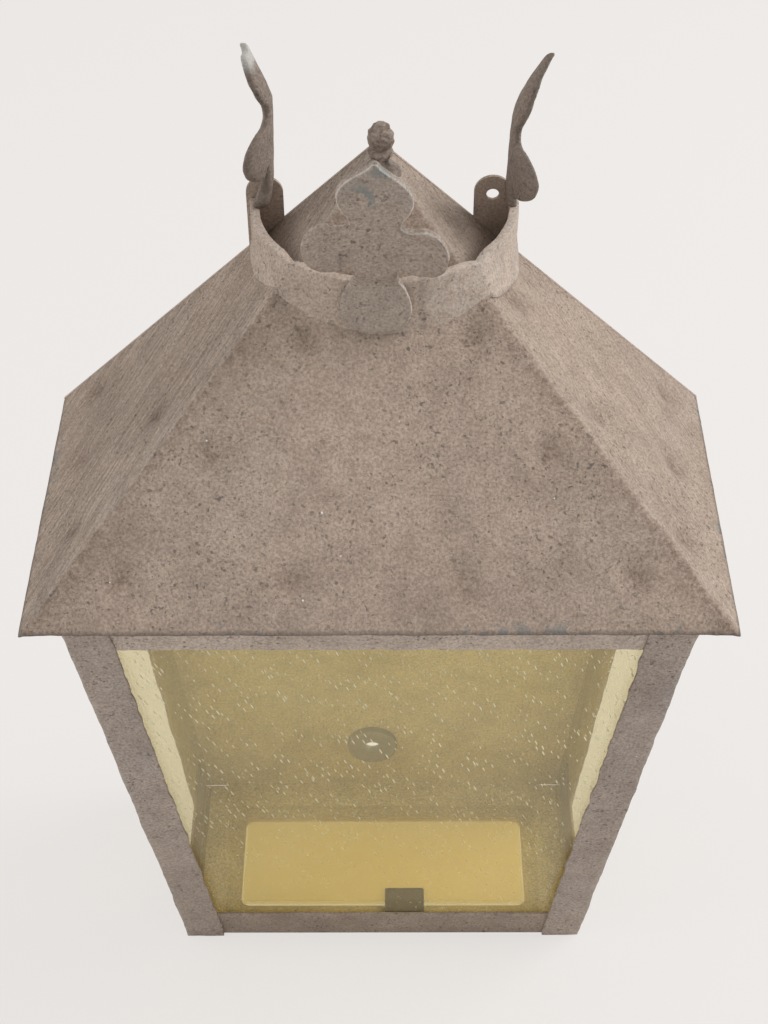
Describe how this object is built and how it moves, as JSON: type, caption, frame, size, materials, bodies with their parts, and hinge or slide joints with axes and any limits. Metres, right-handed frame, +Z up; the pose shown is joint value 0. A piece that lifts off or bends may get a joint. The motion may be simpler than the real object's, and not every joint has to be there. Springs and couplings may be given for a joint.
{
  "type": "wall lantern",
  "caption": "Half lantern for a wall: hipped hammered roof with a crown of fleur-de-lis plates, and a tapering glazed body with amber panes.",
  "frame": {"origin": "middle of the bounding box, on the surface that the base stands on; the wall face is the plane Y = +0.076", "axes": "+Z up, +Y towards the wall, +X to the viewer's right when facing the front"},
  "size_m": [0.3, 0.152, 0.488],
  "materials": {
    "frame_paint": "matte, finely pitted",
    "roof_paint": "matte, hammered and brushed",
    "crown_paint": "matte, hammered and pitted",
    "amber_glass": "seeded, clear amber",
    "fixings": "dull",
    "zinc_steel": "satin",
    "brass": "satin",
    "holder_plastic": "satin",
    "holder_ceramic": "unglazed",
    "grommet_rubber": "matte"
  },
  "bodies": {
    "root": {"back_plate": "frame_paint", "base_sheet": "frame_paint", "bottom_rail_front": "frame_paint", "bottom_rail_left": "frame_paint", "bottom_rail_right": "frame_paint", "bracket_nut_lower": "zinc_steel", "bracket_nut_upper": "zinc_steel", "bracket_stud_lower": "zinc_steel", "bracket_stud_upper": "zinc_steel", "cable_grommet": "grommet_rubber", "centre_contact": "brass", "crown_band": "crown_paint", "earth_screw": "brass", "finial": "crown_paint", "fleur_front": "crown_paint", "fleur_left": "crown_paint", "fleur_right": "crown_paint", "front_post_left": "frame_paint", "front_post_right": "frame_paint", "glass_base": "amber_glass", "glass_clip_front_left": "fixings", "glass_clip_front_right": "fixings", "glass_clip_middle_left": "fixings", "glass_clip_middle_right": "fixings", "glass_clip_rear_left": "fixings", "glass_clip_rear_right": "fixings", "glass_front": "amber_glass", "glass_left": "amber_glass", "glass_right": "amber_glass", "holder_bracket": "zinc_steel", "holder_cap": "holder_plastic", "holder_insulator": "holder_ceramic", "holder_nipple": "zinc_steel", "holder_shell": "holder_plastic", "nipple_nut_lower": "zinc_steel", "nipple_nut_upper": "zinc_steel", "pane_tab": "frame_paint", "pane_tab_rivet": "frame_paint", "rear_post_left": "frame_paint", "rear_post_right": "frame_paint", "roof_front": "roof_paint", "roof_left": "roof_paint", "roof_right": "roof_paint", "screw_sleeve": "brass", "top_rail_front": "frame_paint", "top_rail_left": "frame_paint", "top_rail_right": "frame_paint"}
  },
  "joints": []
}
